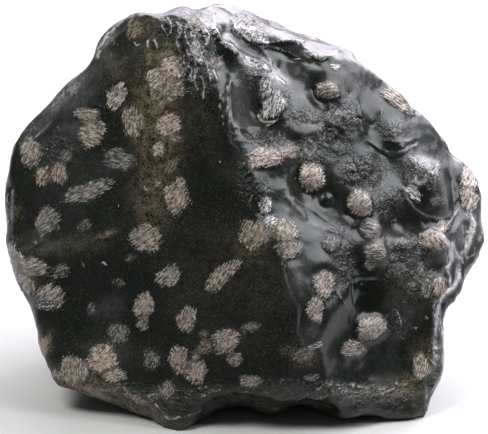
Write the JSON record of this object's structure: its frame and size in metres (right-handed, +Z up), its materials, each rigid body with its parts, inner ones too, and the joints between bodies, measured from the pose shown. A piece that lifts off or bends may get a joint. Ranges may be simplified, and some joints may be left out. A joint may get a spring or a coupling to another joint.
{
  "type": "snowflake obsidian",
  "caption": "Raw lump of black volcanic glass with pale crystal flakes, a crest down its front, nodules on one side and a flat broken base to stand on.",
  "frame": {"origin": "middle of the lump's footprint on the surface it stands on", "axes": "+X to the right of the crested front as it is looked at, the lump's longest side; +Y away from the viewer, its shortest side; +Z up"},
  "size_m": [0.1002, 0.0748, 0.0815],
  "materials": {
    "snowflake_obsidian": "gloss"
  },
  "bodies": {
    "root": {"snowflake_obsidian": "snowflake_obsidian"}
  },
  "joints": []
}
